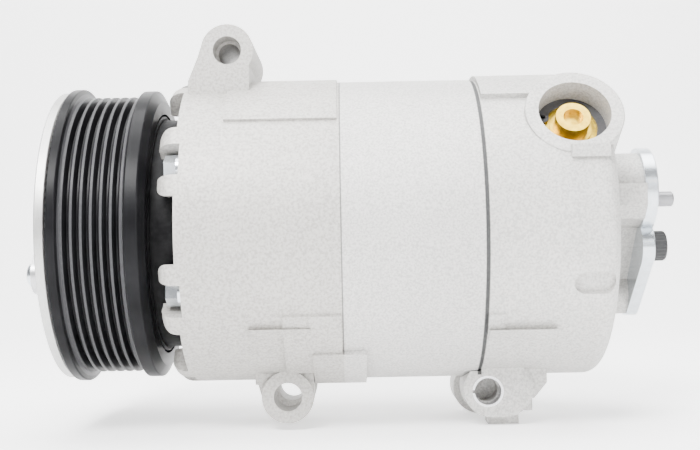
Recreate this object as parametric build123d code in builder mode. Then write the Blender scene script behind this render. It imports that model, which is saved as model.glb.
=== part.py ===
from build123d import *
import os
from math import asin, cos, degrees, radians, sin

# Automotive air-conditioning compressor: a seven-cylinder swash-plate pump with a belt pulley
# and an electromagnetic clutch. The shaft axis is X. The origin lies on it, in the middle
# plane of the belt, +X runs to the rear head and +Z is up. Lengths are in millimetres.

# ---------------------------------------------------------------- fits and clearances
press_fit = 0.0              # seats that are pressed or clamped together
running_clearance = 0.05     # radial, between a rolling piece and its track
piston_clearance = 0.03      # radial, between a piston and its bore
thread_clearance = 0.05      # radial, between a screw and its tapped hole
bolt_hole_clearance = 0.3    # radial, around a through bolt
free_gap = 0.8               # between pieces that turn past each other

# ---------------------------------------------------------------- belt pulley
groove_count = 6
groove_pitch = 3.56
groove_depth = 2.6
groove_mouth = 2.5
groove_floor = 0.6
crest_radius = 55.0
flange_flank = 0.85          # length along the shaft of the slope from crest to flange
front_flange_radius = 58.3
front_flange_width = 3.6
rear_flange_radius = 57.2
rear_flange_width = 4.8
rear_bevel_length = 2.1
rear_bevel_radius = 53.0
pulley_web = 6.6
pulley_hub_wall = 4.1
crest_round = 0.3
pulley_slot_count = 6
pulley_slot_radius = 37.5
pulley_slot_width = 3.0
pulley_slot_arc = 42.0

# ---------------------------------------------------------------- clutch plate and hub
plate_radius = 57.0
plate_bore = 27.0
plate_thickness = 3.65
plate_slot_radius = 34.0
plate_slot_width = 3.0
plate_slot_arc = 48.0
air_gap = 0.5
leaf_thickness = 0.9
leaf_play = 0.05
leaf_half_width = 6.0
leaf_hole_circle = 22.0
flange_thickness = 2.5
flange_corner_radius = 6.8
rivet_circle = 44.6
rivet_shank = 2.4
rivet_head_radius = 4.6
rivet_head_height = 2.5
rivet_tail_height = 1.4
first_corner = 200.0         # direction of the first hub corner, degrees from +Y about +X
leaf_sweep = 60.0            # from a hub corner to the rivet that holds the plate
hub_barrel_radius = 11.5
hub_web = 2.2
hub_bolt_radius = 4.0
hub_bolt_length = 18.0
hub_bolt_flats = 13.0
hub_bolt_head = 5.4

# ---------------------------------------------------------------- pulley bearing
bearing_bore = 15.0
bearing_outer = 23.5
bearing_width = 22.0
bearing_front = -9.0
race_thickness = 3.0
ball_radius = 2.6
balls_per_row = 16
row_spacing = 10.0
cage_half_width = 3.4
cage_wall = 1.6
seal_thickness = 1.0
seal_inset = 0.4
snap_ring_thickness = 1.5
snap_groove_depth = 1.3
snap_ring_reach = 2.0        # how far a snap ring stands out of its groove
snap_ring_gap_angle = 40.0

# ---------------------------------------------------------------- clutch coil
coil_outer_radius = 47.0
coil_wall = 3.0
coil_front = -6.0
coil_step_x = 19.4
coil_skirt_radius = 45.5
coil_base = 3.4
coil_pot_gap = 0.9
winding_margin = 1.2
terminal_width = 13.0
terminal_height = 8.0
terminal_length = 7.5

# ---------------------------------------------------------------- castings
body_radius = 59.3
case_wall = 8.8
bolt_count = 7
bolt_edge_distance = 8.3     # from the bolt centres to the outside of the castings
bolt_radius = 3.0
bolt_boss_radius = 6.3
finger_tip_x = 23.4
head_face_x = 30.0
bolt_seat_depth = 1.5
bolt_washer_height = 1.5
bolt_washer_radius = 5.5
bolt_head_flats = 9.2
bolt_head_height = 4.3
bolt_dimple_radius = 2.0
bolt_dimple_depth = 0.8
finger_inner_radius = 49.0
finger_round = 6.0
notch_half_width = 6.4
gap_half_width = 12.2
gap_corner_round = 3.5
rim_bevel = 2.2
seam_front_x = 89.2
seam_rear_x = 140.6
rear_end_x = 188.8

nose_front_x = -12.2
nose_step_radius = 17.8
nose_step_length = 2.0
nose_base_radius = 20.5
seal_bore = 11.5
seal_bore_end_x = 12.0
shaft_passage = 9.9
seal_front_x = 0.4
seal_hollow = 1.2            # radial gap between the lips and the hollow behind them
first_lip_x = 2.4
second_lip_x = 8.0
lip_slope = 1.6
lip_land = 1.2
thrust_seat_x = 46.0
thrust_boss_radius = 33.0
front_wall_inner_x = 36.0

# ---------------------------------------------------------------- mounting ears
ear_radius = 10.0
ear_bore = 5.4
top_ear_x = 46.7
top_ear_reach = 9.5          # from the outside of the castings to the ear centre
top_ear_near_y = -28.0
top_ear_far_y = 22.0
top_ear_step_depth = 10.0
top_ear_inner_bore = 4.3
low_ear_x = 67.4
low_ear_reach = 4.6
low_ear_near_y = -24.0
low_ear_length = 16.0
low_ear_far_y = 8.0
eye_proud = 1.5              # how far an eye stands out of its web
low_ear_relief = 0.8         # extra radius of the relief between the two lower eyes
low_shoulder_y = -49.2       # where the web of the lower eyes leaves the casting
low_shoulder_z = -36.4
low_shoulder_foot_z = -55.6
top_pad_arc = (45.0, 138.0)  # arcs are in degrees from +Y about +X
low_pad_arc = (212.0, 245.0)
rib_arc = (230.0, 268.0)
pad_rise = 1.0
rib_rise = 1.9
rib_start_x = 77.7
rib_end_x = 97.7
rear_ear_x = 148.1
rear_ear_reach = 3.4
rear_hole_x = 144.1
rear_hole_reach = 4.1
rear_hole_depth = 14.0
rear_thread_radius = 4.6
rear_ear_near_y = -22.0
rear_ear_length = 17.0
rear_ear_half_length = 13.3
rear_ear_half_height = 10.6
bush_radius = 6.0
bush_bore = 5.1
bush_length = 6.6
bush_slit = 1.2
pedestal_end_x = 167.0
pedestal_foot_x = 162.0
pedestal_length = 25.0
pedestal_top_z = -38.2
pedestal_corner_z = -60.5
pedestal_low_z = -66.5
pedestal_near_y = -48.0
far_eye_near_y = 8.0
far_eye_end_x = 160.0
far_eye_drop = 2.0
foot_block = (152.0, 161.3, -71.2)   # start, end and lowest height of the block by the eye
foot_pad = (144.5, 156.5, -76.8)     # and of the pad under it
foot_near_y = -20.0
foot_pad_near_y = -16.0
foot_length = 10.0

# ---------------------------------------------------------------- shaft and drive
shaft_end_radius = 7.0
shaft_seal_radius = 8.0
shaft_radius = 9.0
shaft_front_x = -21.0
shaft_end_x = 127.0
needle_radius = 1.25
needle_count = 18
needle_length = 11.0
cup_wall = 1.4
cup_length = 14.0
front_cup_x = 31.0
rear_cup_x = 108.0
thrust_race_thickness = 1.2
thrust_race_inner = 15.5
thrust_race_outer = 28.5
thrust_roller_radius = 1.25
thrust_roller_count = 24
thrust_roller_inner = 17.5
thrust_roller_length = 9.0
thrust_cage_thickness = 1.3
rotor_radius = 31.0
rotor_thickness = 9.2
balance_width = 9.0
balance_arc = (215.0, 325.0)
plate_centre_x = 82.0
swash_thickness = 8.0
swash_radius = 43.5
swash_hub_radius = 15.5
swash_hub_length = 16.0
swash_bore_clearance = 0.3
hinge_x = 69.0
hinge_z = 21.5
hinge_pin_radius = 3.0
hinge_arm_half_height = 5.3
hinge_tongue_half = 4.5
hinge_side_gap = 0.2
fork_thickness = 4.5
spring_wire = 1.1
spring_radius = 12.2
spring_turns = 4

# ---------------------------------------------------------------- pistons
cylinder_circle = 36.0
cylinder_radius = 13.5
shoe_radius = 8.5
shoe_clearance = 0.05
piston_skirt_x = 110.0
crown_gap = 1.0
tail_front_x = 69.5
tail_rear_x = 94.5
tail_half_width = 8.5
tail_inner = -6.0
tail_outer = 13.0
bridge_inner = 8.4
neck_inner = 2.0
neck_outer = 11.5
neck_half_width = 6.5
block_hollow_x = 100.0

# ---------------------------------------------------------------- valve pack
gasket_thickness = 0.8
gasket_setback = 0.4
reed_thickness = 0.4
valve_plate_thickness = 3.5
pack_radius = 54.5
suction_hole_radius = 4.2
suction_hole_circle = 41.5
discharge_hole_radius = 3.6
discharge_hole_circle = 31.0
reed_slit = 0.8

# ---------------------------------------------------------------- rear head
rear_wall_setback = 0.4
rear_edge_round = 5.5
chamber_end_x = 172.0
discharge_chamber = 24.0
chamber_wall = 3.6
suction_chamber = 45.5
bolt_depth_x = 164.0
saddle_rise = 1.5
saddle_arc = (58.0, 126.0)
patch_rise = 0.3
patch_end_x = 147.7
patch_arc = (213.0, 222.0)
pocket_x = 175.3
pocket_y = -45.0
pocket_z = 41.0
pocket_tilt = 30.0           # degrees above the horizontal
pocket_radius = 13.3
pocket_depth = 13.0
pocket_boss_radius = 18.2
pocket_boss_setback = 0.5
valve_bore = 10.5
valve_bore_depth = 42.0
valve_tube_wall = 2.8
valve_head_radius = 6.4
valve_collar = 1.4
valve_body_setback = 1.5
valve_head_height = 6.5
valve_recess_radius = 3.65
valve_recess_depth = 3.0
valve_clearance = 0.1
circlip_thickness = 1.4
circlip_width = 3.4
circlip_groove = 1.0
ledge_start_x = 171.9
ledge_end_x = 185.6
ledge_near_y = -55.6
ledge_low_z = 23.5
ledge_height = 4.6
ledge_length = 12.0
scallop_length = 15.0
scallop_width = 8.6
scallop_depth = 3.0
scallop_centre_x = 179.3
scallop_direction = 201.5

# ---------------------------------------------------------------- ports
port_reach = 18.2            # from the rear end of the head to the face of the ports
upper_port_y = -4.0
upper_port_z = 13.5
upper_boss_radius = 15.0
upper_port_radius = 7.0
lower_port_y = 20.0
lower_port_z = -28.0
lower_boss_radius = 9.0
lower_port_radius = 5.0
port_block_near_y = -23.0
port_block_top_z = 15.5
port_block_low_z = 3.0
port_plate_thickness = 5.0
port_plate_radius = 17.0
port_lobe_radius = 9.3
port_arm_radius = 9.8
cap_y = -5.0
cap_z = -8.8
cap_radius = 6.0
cap_length = 5.9
stud_y = 0.0
stud_z = 10.1
stud_radius = 3.05
stud_root_radius = 2.7
stud_length = 11.0
port_seal_wire = 1.0

# ---------------------------------------------------------------- values that follow
grooves_half = groove_count * groove_pitch / 2
crest_edge = grooves_half + (groove_pitch - groove_mouth) / 2
front_flange_x = -crest_edge - flange_flank
pulley_front_x = front_flange_x - front_flange_width
rear_flange_x = crest_edge + flange_flank
rear_flange_end_x = rear_flange_x + rear_flange_width
pulley_rear_x = rear_flange_end_x + rear_bevel_length
plate_back_x = pulley_front_x - air_gap
plate_front_x = plate_back_x - plate_thickness
flange_back_x = plate_front_x - leaf_thickness - 2 * leaf_play
flange_front_x = flange_back_x - flange_thickness
leaf_front_x = flange_back_x + leaf_play
bearing_rear_x = bearing_front + bearing_width
bearing_middle_x = bearing_front + bearing_width / 2
inner_race_outer = bearing_bore + race_thickness
outer_race_inner = bearing_outer - race_thickness
ball_circle = (inner_race_outer + outer_race_inner) / 2
row_stations = (bearing_middle_x - row_spacing / 2, bearing_middle_x + row_spacing / 2)
pulley_hub_radius = bearing_outer + pulley_hub_wall
pulley_channel = coil_outer_radius + free_gap + 0.2
coil_inner_radius = pulley_hub_radius + coil_pot_gap
nose_base_x = bearing_rear_x + nose_step_length
case_inner = body_radius - case_wall
bolt_hole = bolt_radius + bolt_hole_clearance
bolt_seat_x = head_face_x + bolt_seat_depth
needle_circle = shaft_radius + running_clearance + needle_radius
cup_inner = needle_circle + needle_radius + running_clearance
cup_outer = cup_inner + cup_wall
thrust_roller_x = thrust_seat_x + thrust_race_thickness + running_clearance + thrust_roller_radius
rotor_front_x = thrust_roller_x + thrust_roller_radius + running_clearance
rotor_rear_x = rotor_front_x + rotor_thickness
swash_front_x = plate_centre_x - swash_thickness / 2
swash_rear_x = plate_centre_x + swash_thickness / 2
suction_reed_x = seam_rear_x + gasket_thickness
valve_plate_x = suction_reed_x + reed_thickness
discharge_reed_x = valve_plate_x + valve_plate_thickness
retainer_x = discharge_reed_x + reed_thickness
rear_floor_x = retainer_x + gasket_thickness
half_step = 180 / bolt_count
bolt_circle = body_radius - bolt_edge_distance
top_ear_z = body_radius + top_ear_reach
low_ear_z = -body_radius - low_ear_reach
rear_ear_z = -body_radius - rear_ear_reach
rear_hole_z = -body_radius - rear_hole_reach
port_face_x = rear_end_x + port_reach
valve_top_depth = pocket_depth - valve_body_setback
circlip_depth = valve_top_depth - circlip_thickness
low_gap_y = low_ear_near_y + low_ear_length
bolt_head_x = bolt_seat_x - bolt_washer_height - bolt_head_height
port_plate_end_x = port_face_x + port_plate_thickness


def across(station):
    """The plane square to the shaft at a station along it; its sketch axes are +Y and +Z."""
    return Plane.YZ.offset(station)


def facing(direction, radius):
    """A plane that faces outward from the shaft, its sketch axes along and around the shaft."""
    out = Vector(0, cos(radians(direction)), sin(radians(direction)))
    return Plane(origin=out * radius, x_dir=(1, 0, 0), z_dir=out)


def ring(start, end, outer, inner=0.0, mode=Mode.ADD):
    """A ring or disc about the shaft between two stations."""
    with BuildSketch(across(start)) as face:
        Circle(outer)
        if inner > 0:
            Circle(inner, mode=Mode.SUBTRACT)
    extrude(face.sketch, amount=end - start, mode=mode)


def turned(*points, mode=Mode.ADD):
    """A shape turned about the shaft from its outline of (station, radius) points."""
    with BuildSketch(Plane.XZ) as outline:
        with BuildLine():
            Polyline(*points, close=True)
        make_face()
    revolve(outline.sketch, axis=Axis.X, mode=mode)


def posts(start, end, circle, radius, count=bolt_count, turn=0.0, mode=Mode.ADD):
    """Round posts or holes spaced evenly about the shaft."""
    with BuildSketch(across(start)) as face:
        with PolarLocations(circle, count, start_angle=turn):
            Circle(radius)
    extrude(face.sketch, amount=end - start, mode=mode)


def sector(start, end, outer, inner, first, last, mode=Mode.ADD):
    """Part of a ring between two directions, in degrees from +Y about +X."""
    with BuildSketch(across(start)) as face:
        with BuildLine():
            CenterArc((0, 0), outer, first, last - first)
            CenterArc((0, 0), inner, first, last - first)
            for direction in (first, last):
                Line(
                    (inner * cos(radians(direction)), inner * sin(radians(direction))),
                    (outer * cos(radians(direction)), outer * sin(radians(direction))),
                )
        make_face()
    extrude(face.sketch, amount=end - start, mode=mode)


def snap_ring(start, inner, outer, direction=90.0):
    """An open spring ring about the shaft, its gap pointing in one direction."""
    ring(start, start + snap_ring_thickness, outer, inner)
    sector(
        start - 1,
        start + snap_ring_thickness + 1,
        outer + 1,
        inner - 1,
        direction - snap_ring_gap_angle / 2,
        direction + snap_ring_gap_angle / 2,
        mode=Mode.SUBTRACT,
    )


os.makedirs("parts", exist_ok=True)

# ================================================================ clutch
# The clutch plate: a flat steel ring that the coil pulls against the pulley.
with BuildPart() as armature_plate:
    ring(plate_front_x, plate_back_x, plate_radius, plate_bore)
    chamfer(armature_plate.edges().filter_by(GeomType.CIRCLE).group_by(SortBy.RADIUS)[-1], 0.4)
    with BuildSketch(across(plate_front_x)):
        for turn in (0, 120, 240):
            start = first_corner + leaf_sweep / 2 + turn
            arc = Edge.make_circle(plate_slot_radius, start_angle=start - plate_slot_arc / 2,
                                   end_angle=start + plate_slot_arc / 2)
            SlotArc(arc, plate_slot_width)
    extrude(amount=plate_thickness, mode=Mode.SUBTRACT)
    posts(plate_front_x, plate_back_x, rivet_circle, rivet_head_radius + free_gap, 3, first_corner,
          mode=Mode.SUBTRACT)
    posts(plate_front_x, plate_back_x, rivet_circle, rivet_shank, 3, first_corner + leaf_sweep,
          mode=Mode.SUBTRACT)
armature_plate.part.label = "armature_plate"
export_step(armature_plate.part, "parts/armature_plate.step")

# The hub: a splined barrel on the shaft with a three-cornered flange in front of the plate.
hub_barrel_end_x = nose_front_x - free_gap
with BuildPart() as clutch_hub:
    with BuildSketch(across(flange_front_x)):
        with PolarLocations(rivet_circle, 3, start_angle=first_corner):
            Circle(flange_corner_radius)
        make_hull()
        with PolarLocations(leaf_hole_circle, 3, start_angle=first_corner + leaf_sweep):
            Circle(4.5, mode=Mode.SUBTRACT)
        with PolarLocations(rivet_circle, 3, start_angle=first_corner):
            Circle(rivet_shank, mode=Mode.SUBTRACT)
    extrude(amount=flange_thickness)
    ring(flange_front_x, hub_barrel_end_x, hub_barrel_radius)
    ring(flange_front_x, flange_front_x + hub_web, hub_bolt_radius + 0.2, mode=Mode.SUBTRACT)
    ring(flange_front_x + hub_web, hub_barrel_end_x, shaft_end_radius, mode=Mode.SUBTRACT)
clutch_hub.part.label = "clutch_hub"
export_step(clutch_hub.part, "parts/clutch_hub.step")

# Three leaf springs carry the plate: each runs from a hub corner to a rivet in the plate.
with BuildPart() as leaf_springs:
    with BuildSketch(across(leaf_front_x)):
        for corner in (0, 120, 240):
            ends = []
            for direction in (first_corner + corner, first_corner + corner + leaf_sweep):
                out = (cos(radians(direction)), sin(radians(direction)))
                ends.append((rivet_circle * out[0], rivet_circle * out[1]))
            middle = ((ends[0][0] + ends[1][0]) / 2, (ends[0][1] + ends[1][1]) / 2)
            with Locations(middle):
                SlotCenterToCenter(
                    2 * rivet_circle * sin(radians(leaf_sweep / 2)),
                    2 * leaf_half_width,
                    rotation=first_corner + corner + leaf_sweep / 2 + 90,
                )
            with Locations(*ends):
                Circle(rivet_shank, mode=Mode.SUBTRACT)
    extrude(amount=leaf_thickness)
leaf_springs.part.label = "leaf_springs"
export_step(leaf_springs.part, "parts/leaf_springs.step")

# Rivets that hold the leaf springs to the hub corners.
leaf_back_x = leaf_front_x + leaf_thickness
with BuildPart() as hub_rivets:
    posts(flange_front_x, leaf_back_x, rivet_circle, rivet_shank, 3, first_corner)
    posts(flange_front_x - rivet_head_height, flange_front_x, rivet_circle, rivet_head_radius, 3,
          first_corner)
    posts(leaf_back_x, leaf_back_x + rivet_tail_height, rivet_circle, rivet_head_radius - 0.6, 3,
          first_corner)
    heads = hub_rivets.edges().filter_by(GeomType.CIRCLE).group_by(Axis.X)[0]
    fillet(heads, rivet_head_height - 0.4)
hub_rivets.part.label = "hub_rivets"
export_step(hub_rivets.part, "parts/hub_rivets.step")

# Rivets that hold the other ends of the leaf springs to the plate.
with BuildPart() as armature_rivets:
    posts(leaf_front_x, plate_back_x - 0.3, rivet_circle, rivet_shank, 3, first_corner + leaf_sweep)
    posts(leaf_front_x - rivet_tail_height, leaf_front_x, rivet_circle, rivet_head_radius, 3,
          first_corner + leaf_sweep)
    heads = armature_rivets.edges().filter_by(GeomType.CIRCLE).group_by(Axis.X)[0]
    fillet(heads, rivet_tail_height - 0.3)
armature_rivets.part.label = "armature_rivets"
export_step(armature_rivets.part, "parts/armature_rivets.step")

# The bolt that clamps the hub onto the shaft end.
with BuildPart() as hub_bolt:
    ring(flange_front_x, flange_front_x + hub_bolt_length, hub_bolt_radius)
    ring(flange_front_x - 1.2, flange_front_x, hub_bolt_flats * 0.66)
    with BuildSketch(across(flange_front_x - hub_bolt_head)):
        RegularPolygon(hub_bolt_flats / 2, 6, major_radius=False)
    extrude(amount=hub_bolt_head - 1.2)
hub_bolt.part.label = "hub_bolt"
export_step(hub_bolt.part, "parts/hub_bolt.step")

# ================================================================ pulley
# The pulley: grooved rim, friction face and bearing hub in one turned steel piece.
groove_points = []
for number in range(groove_count):
    middle = (number + 0.5) * groove_pitch - grooves_half
    groove_points.append((middle - groove_mouth / 2, crest_radius))
    groove_points.append((middle - groove_floor / 2, crest_radius - groove_depth))
    groove_points.append((middle + groove_floor / 2, crest_radius - groove_depth))
    groove_points.append((middle + groove_mouth / 2, crest_radius))
with BuildPart() as pulley:
    turned(
        (pulley_front_x, outer_race_inner + 0.3),
        (pulley_front_x, front_flange_radius),
        (front_flange_x, front_flange_radius),
        (-crest_edge, crest_radius),
        *groove_points,
        (crest_edge, crest_radius),
        (rear_flange_x, rear_flange_radius),
        (rear_flange_end_x, rear_flange_radius),
        (pulley_rear_x, rear_bevel_radius),
        (pulley_rear_x, pulley_channel),
        (pulley_front_x + pulley_web, pulley_channel),
        (pulley_front_x + pulley_web, pulley_hub_radius),
        (bearing_rear_x + 2 * snap_ring_thickness, pulley_hub_radius),
        (bearing_rear_x + 2 * snap_ring_thickness, bearing_outer),
        (bearing_front, bearing_outer),
        (bearing_front, outer_race_inner + 0.3),
    )
    crests = pulley.edges().filter_by(GeomType.CIRCLE)
    crests = crests.filter_by(lambda edge: abs(edge.radius - crest_radius) < 0.01)
    fillet(crests, crest_round)
    rims = pulley.edges().filter_by(GeomType.CIRCLE)
    rims = rims.filter_by(
        lambda edge: min(abs(edge.radius - front_flange_radius), abs(edge.radius - rear_flange_radius))
        < 0.01
    )
    fillet(rims, 2 * crest_round)
    ring(bearing_rear_x, bearing_rear_x + snap_ring_thickness + 0.1,
         bearing_outer + snap_groove_depth, mode=Mode.SUBTRACT)
    with BuildSketch(across(pulley_front_x)):
        for number in range(pulley_slot_count):
            start = number * 360 / pulley_slot_count
            arc = Edge.make_circle(
                pulley_slot_radius, start_angle=start, end_angle=start + pulley_slot_arc
            )
            SlotArc(arc, pulley_slot_width)
    extrude(amount=pulley_web, mode=Mode.SUBTRACT)
pulley.part.label = "pulley"
export_step(pulley.part, "parts/pulley.step")

# The double-row ball bearing between the pulley and the nose of the front head.
with BuildPart() as pulley_bearing_outer_race:
    ring(bearing_front, bearing_rear_x, bearing_outer, outer_race_inner)
    with Locations(*[(station, 0, 0) for station in row_stations]):
        Torus(ball_circle, ball_radius + running_clearance, rotation=(0, 90, 0), mode=Mode.SUBTRACT)
pulley_bearing_outer_race.part.label = "pulley_bearing_outer_race"
export_step(pulley_bearing_outer_race.part, "parts/pulley_bearing_outer_race.step")

with BuildPart() as pulley_bearing_inner_race:
    ring(bearing_front, bearing_rear_x, inner_race_outer, bearing_bore)
    with Locations(*[(station, 0, 0) for station in row_stations]):
        Torus(ball_circle, ball_radius + running_clearance, rotation=(0, 90, 0), mode=Mode.SUBTRACT)
pulley_bearing_inner_race.part.label = "pulley_bearing_inner_race"
export_step(pulley_bearing_inner_race.part, "parts/pulley_bearing_inner_race.step")

ball_places = []
for station in row_stations:
    for number in range(balls_per_row):
        direction = radians(number * 360 / balls_per_row)
        ball_places.append((station, ball_circle * cos(direction), ball_circle * sin(direction)))
with BuildPart() as pulley_bearing_balls:
    with Locations(*ball_places):
        Sphere(ball_radius)
pulley_bearing_balls.part.label = "pulley_bearing_balls"
export_step(pulley_bearing_balls.part, "parts/pulley_bearing_balls.step")

with BuildPart() as pulley_bearing_cages:
    for station in row_stations:
        ring(station - cage_half_width, station + cage_half_width,
             ball_circle + cage_wall / 2, ball_circle - cage_wall / 2)
    with Locations(*ball_places):
        Sphere(ball_radius + 3 * running_clearance, mode=Mode.SUBTRACT)
pulley_bearing_cages.part.label = "pulley_bearing_cages"
export_step(pulley_bearing_cages.part, "parts/pulley_bearing_cages.step")

with BuildPart() as pulley_bearing_seals:
    for start in (bearing_front + seal_inset, bearing_rear_x - seal_inset - seal_thickness):
        ring(start, start + seal_thickness, outer_race_inner, inner_race_outer + 0.3)
pulley_bearing_seals.part.label = "pulley_bearing_seals"
export_step(pulley_bearing_seals.part, "parts/pulley_bearing_seals.step")

# Spring rings: one keeps the bearing in the pulley, one keeps the bearing on the nose.
with BuildPart() as pulley_snap_ring:
    snap_ring(bearing_rear_x + 0.05, bearing_outer - snap_ring_reach + 0.2,
              bearing_outer + snap_groove_depth - 0.05)
pulley_snap_ring.part.label = "pulley_snap_ring"
export_step(pulley_snap_ring.part, "parts/pulley_snap_ring.step")

nose_ring_x = bearing_front - snap_ring_thickness - 0.05
with BuildPart() as nose_snap_ring:
    snap_ring(nose_ring_x, bearing_bore - snap_groove_depth + 0.05, bearing_bore + snap_ring_reach)
nose_snap_ring.part.label = "nose_snap_ring"
export_step(nose_snap_ring.part, "parts/nose_snap_ring.step")

# ================================================================ clutch coil
# The coil stands still on the front head, inside the hollow back of the pulley.
coil_base_x = coil_step_x + coil_base
coil_sleeve_radius = nose_base_radius + 3.5
with BuildPart() as coil_shell:
    ring(coil_front, coil_step_x, coil_outer_radius, coil_outer_radius - coil_wall)
    ring(coil_front, coil_step_x, coil_inner_radius + coil_wall, coil_inner_radius)
    ring(coil_step_x, coil_base_x, coil_skirt_radius, coil_inner_radius)
    ring(coil_base_x, head_face_x, coil_skirt_radius, coil_skirt_radius - coil_wall)
    ring(coil_base_x, coil_base_x + coil_wall, coil_skirt_radius, coil_sleeve_radius)
    ring(coil_base_x, head_face_x, coil_sleeve_radius + 0.01, nose_base_radius)
    chamfer(coil_shell.edges().filter_by(GeomType.CIRCLE).group_by(SortBy.RADIUS)[-1], 0.5)
coil_shell.part.label = "coil_shell"
export_step(coil_shell.part, "parts/coil_shell.step")

winding_inner = coil_inner_radius + coil_wall
winding_outer = coil_outer_radius - coil_wall
with BuildPart() as coil_bobbin:
    ring(coil_front + 1.5, coil_step_x, winding_outer, winding_inner)
    ring(coil_front + 1.5 + winding_margin, coil_step_x - winding_margin, winding_outer + 1,
         winding_inner + winding_margin, mode=Mode.SUBTRACT)
coil_bobbin.part.label = "coil_bobbin"
export_step(coil_bobbin.part, "parts/coil_bobbin.step")

with BuildPart() as coil_winding:
    ring(coil_front + 1.5 + winding_margin, coil_step_x - winding_margin,
         winding_outer - 0.3, winding_inner + winding_margin)
coil_winding.part.label = "coil_winding"
export_step(coil_winding.part, "parts/coil_winding.step")

# The coil's two-pin socket sits on the hidden side, between two of the bolt bosses.
terminal_direction = half_step
terminal_x = (coil_base_x + head_face_x) / 2
with BuildPart() as coil_terminal:
    with BuildSketch(facing(terminal_direction, coil_skirt_radius)):
        with Locations((terminal_x, 0)):
            RectangleRounded(terminal_length - 1.5, terminal_width, 1.2)
    extrude(amount=terminal_height)
    with BuildSketch(facing(terminal_direction, coil_skirt_radius + terminal_height)):
        with Locations((terminal_x, 0)):
            RectangleRounded(terminal_length - 3.5, terminal_width - 2.4, 0.8)
    extrude(amount=-5.0, mode=Mode.SUBTRACT)
    with BuildSketch(facing(terminal_direction, coil_skirt_radius + terminal_height - 5.0)):
        with Locations((terminal_x, -2.5), (terminal_x, 2.5)):
            Circle(0.8)
    extrude(amount=4.0)
coil_terminal.part.label = "coil_terminal"
export_step(coil_terminal.part, "parts/coil_terminal.step")

coil_ring_x = coil_base_x - snap_ring_thickness - 0.05
with BuildPart() as coil_snap_ring:
    snap_ring(coil_ring_x, nose_base_radius - snap_groove_depth + 0.05,
              nose_base_radius + snap_ring_reach)
coil_snap_ring.part.label = "coil_snap_ring"
export_step(coil_snap_ring.part, "parts/coil_snap_ring.step")

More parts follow.
